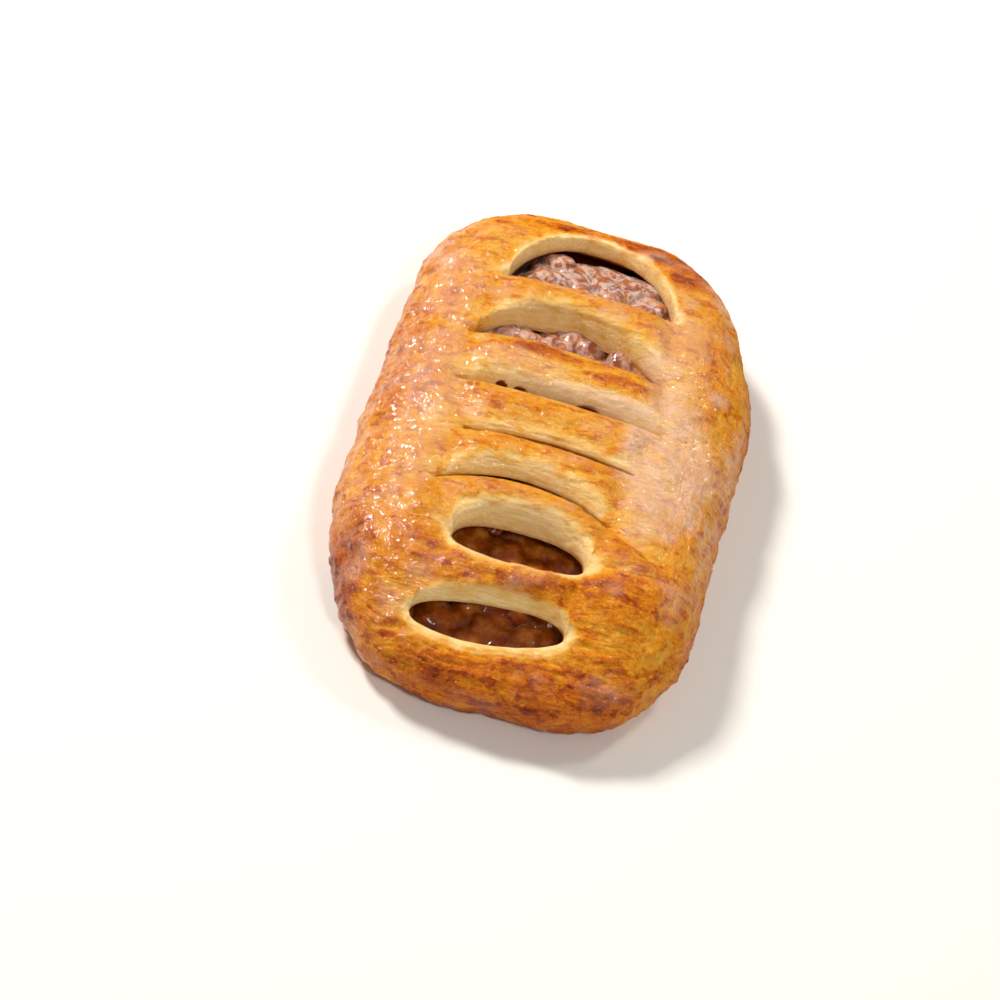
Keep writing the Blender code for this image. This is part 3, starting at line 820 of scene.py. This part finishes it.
def stewedFruit():
    # Fruit stewed in its own syrup: wet amber jelly, dark where deep, with paler cubes in it, and
    # thin sugar icing that has run down over it, milky with a lilac cast
    material, tree, shader = newMaterial("stewedFruitInSyrup")
    place = addNode(tree, "TexCoord").outputs["Object"]
    fruit = addNode(tree, "Attribute", attribute_name="fruit").outputs["Fac"]
    iced = addNode(tree, "Attribute", attribute_name="iced").outputs["Fac"]
    cloud = addNode(tree, "TexNoise", {"Vector": place, "Scale": 1 / (3.5 * mm), "Detail": 3.0})
    pulp = setRamp(addNode(tree, "ValToRGB", {"Fac": cloud.outputs["Fac"]}), [
        (0.3, "#702A06"), (0.5, "#9C4C10"), (0.7, "#C47A2C")])
    syrup = setRamp(addNode(tree, "ValToRGB", {"Fac": cloud.outputs["Fac"]}), [
        (0.3, "#5A1402"), (0.7, "#8E3A06")])
    body = addNode(tree, "Mix", {0: fruit, 6: syrup, 7: pulp}, data_type="RGBA")
    streak = addNode(tree, "TexNoise", {"Vector": place, "Scale": 1 / (2.6 * mm), "Detail": 4.0,
                                        "Distortion": 1.5})
    thick = addNode(tree, "MapRange", {"Value": streak.outputs["Fac"], "From Min": 0.42, "From Max": 0.6,
                                       "To Min": 0.08, "To Max": 0.9})
    cover = addNode(tree, "Math", {0: thick.outputs[0], 1: iced}, operation="MULTIPLY")
    coated = addNode(tree, "Mix", {0: cover.outputs[0], 6: body.outputs[2], 7: linear("#CDB4AC")},
                     data_type="RGBA")
    sparkle = addNode(tree, "TexNoise", {"Vector": place, "Scale": 1 / (1.2 * mm), "Detail": 3.0})
    uneven = addNode(tree, "Bump", {"Height": sparkle.outputs["Fac"], "Strength": 0.6,
                                    "Distance": 0.3 * mm})
    setInputs(tree, shader, {
        "Base Color": coated.outputs[2],
        "Roughness": 0.35,
        "IOR": 1.38,
        "Specular IOR Level": 0.2,
        "Coat Weight": 1.0,
        "Coat IOR": 1.42,
        "Coat Roughness": 0.05,
        "Subsurface Weight": 0.35,
        "Subsurface Radius": (1.0, 0.35, 0.1),
        "Subsurface Scale": 2.0 * mm,
        "Normal": uneven.outputs[0],
        "Coat Normal": uneven.outputs[0],
    })
    return material


points, faces, shares = fruitFilling()
fillingPiece = buildPiece("fruitFilling", points, faces, stewedFruit(), shares)
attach(fillingPiece, "root")
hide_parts("fruit_filling")

# A plain pale floor, three softboxes (place, side and power) and a dim white room
studio = {
    "floorColour": "#F4F2EE",
    "floorHalf": 1500,
    "lampTarget": (0, 0, 10),
    "lampColour": "#FFFAF2",
    "lamps": {
        "keySoftbox": ((-560, 360, 700), 180, 9.2),
        "fillSoftbox": ((300, -600, 800), 160, 3.2),
        "backSoftbox": ((420, 500, 800), 170, 2.4),
    },
    "roomColour": "#FFFFFF",
    "roomStrength": 0.2,
}


def paleFloor():
    # matt painted board, so that it takes a soft shadow and no reflection
    material, tree, shader = newMaterial("mattPaintedBoard")
    setInputs(tree, shader, {"Base Color": linear(studio["floorColour"]), "Roughness": 0.9})
    half = studio["floorHalf"]
    corners = np.array([[-half, -half, 0], [half, -half, 0], [half, half, 0], [-half, half, 0]], float)
    return buildPiece("floor", corners, [np.array([[0, 1, 2, 3]])], material)


floor = paleFloor()


def addLamp(name, place, side, power):
    # a square softbox at a place in mm, facing the pastry
    lamp = bpy.data.lights.new(name, "AREA")
    lamp.shape = "RECTANGLE"
    lamp.size, lamp.size_y = side * mm, side * mm
    lamp.energy = power
    lamp.color = linear(studio["lampColour"])[:3]
    item = bpy.data.objects.new(name, lamp)
    bpy.context.scene.collection.objects.link(item)
    item.location = Vector(place) * mm
    towards = Vector(studio["lampTarget"]) - Vector(place)
    item.rotation_euler = towards.to_track_quat("-Z", "Y").to_euler()


for name, (place, side, power) in studio["lamps"].items():
    addLamp(name, place, side, power)

world = bpy.data.worlds.new("studioRoom")
world.use_nodes = True
background = world.node_tree.nodes["Background"]
setInputs(world.node_tree, background, {"Color": linear(studio["roomColour"]),
                                        "Strength": studio["roomStrength"]})
bpy.context.scene.world = world
bpy.context.scene.view_settings.view_transform = "Standard"

# The camera looks down on the near end from the front, rolled a little
view = {
    "azimuth": -1.31,
    "elevation": 46.0,
    "roll": -16.56,
    "distance": 823.1,
    "offset": (-9.37, -3.41),
    "lens": 126.0,
    "sensor": 36,
    "nearest": 10,
}


def addCamera():
    # the camera stands back from the pastry's foot along its line of sight, moved a little sideways
    turn, lift, roll = [math.radians(view[key]) for key in ("azimuth", "elevation", "roll")]
    back = Vector((math.sin(turn) * math.cos(lift), -math.cos(turn) * math.cos(lift), math.sin(lift)))
    level = (-back).cross(Vector((0, 0, 1))).normalized()
    upright = level.cross(-back)
    right = level * math.cos(roll) - upright * math.sin(roll)
    up = level * math.sin(roll) + upright * math.cos(roll)
    place = back * view["distance"] + right * view["offset"][0] + up * view["offset"][1]
    lens = bpy.data.cameras.new("camera")
    lens.lens = view["lens"]
    lens.sensor_width = view["sensor"]
    lens.clip_start = view["nearest"] * mm
    item = bpy.data.objects.new("camera", lens)
    turned = Matrix((right, up, back)).transposed().to_4x4()
    item.matrix_world = Matrix.Translation(place * mm) @ turned
    bpy.context.scene.collection.objects.link(item)
    bpy.context.scene.camera = item


addCamera()
print("studio set")
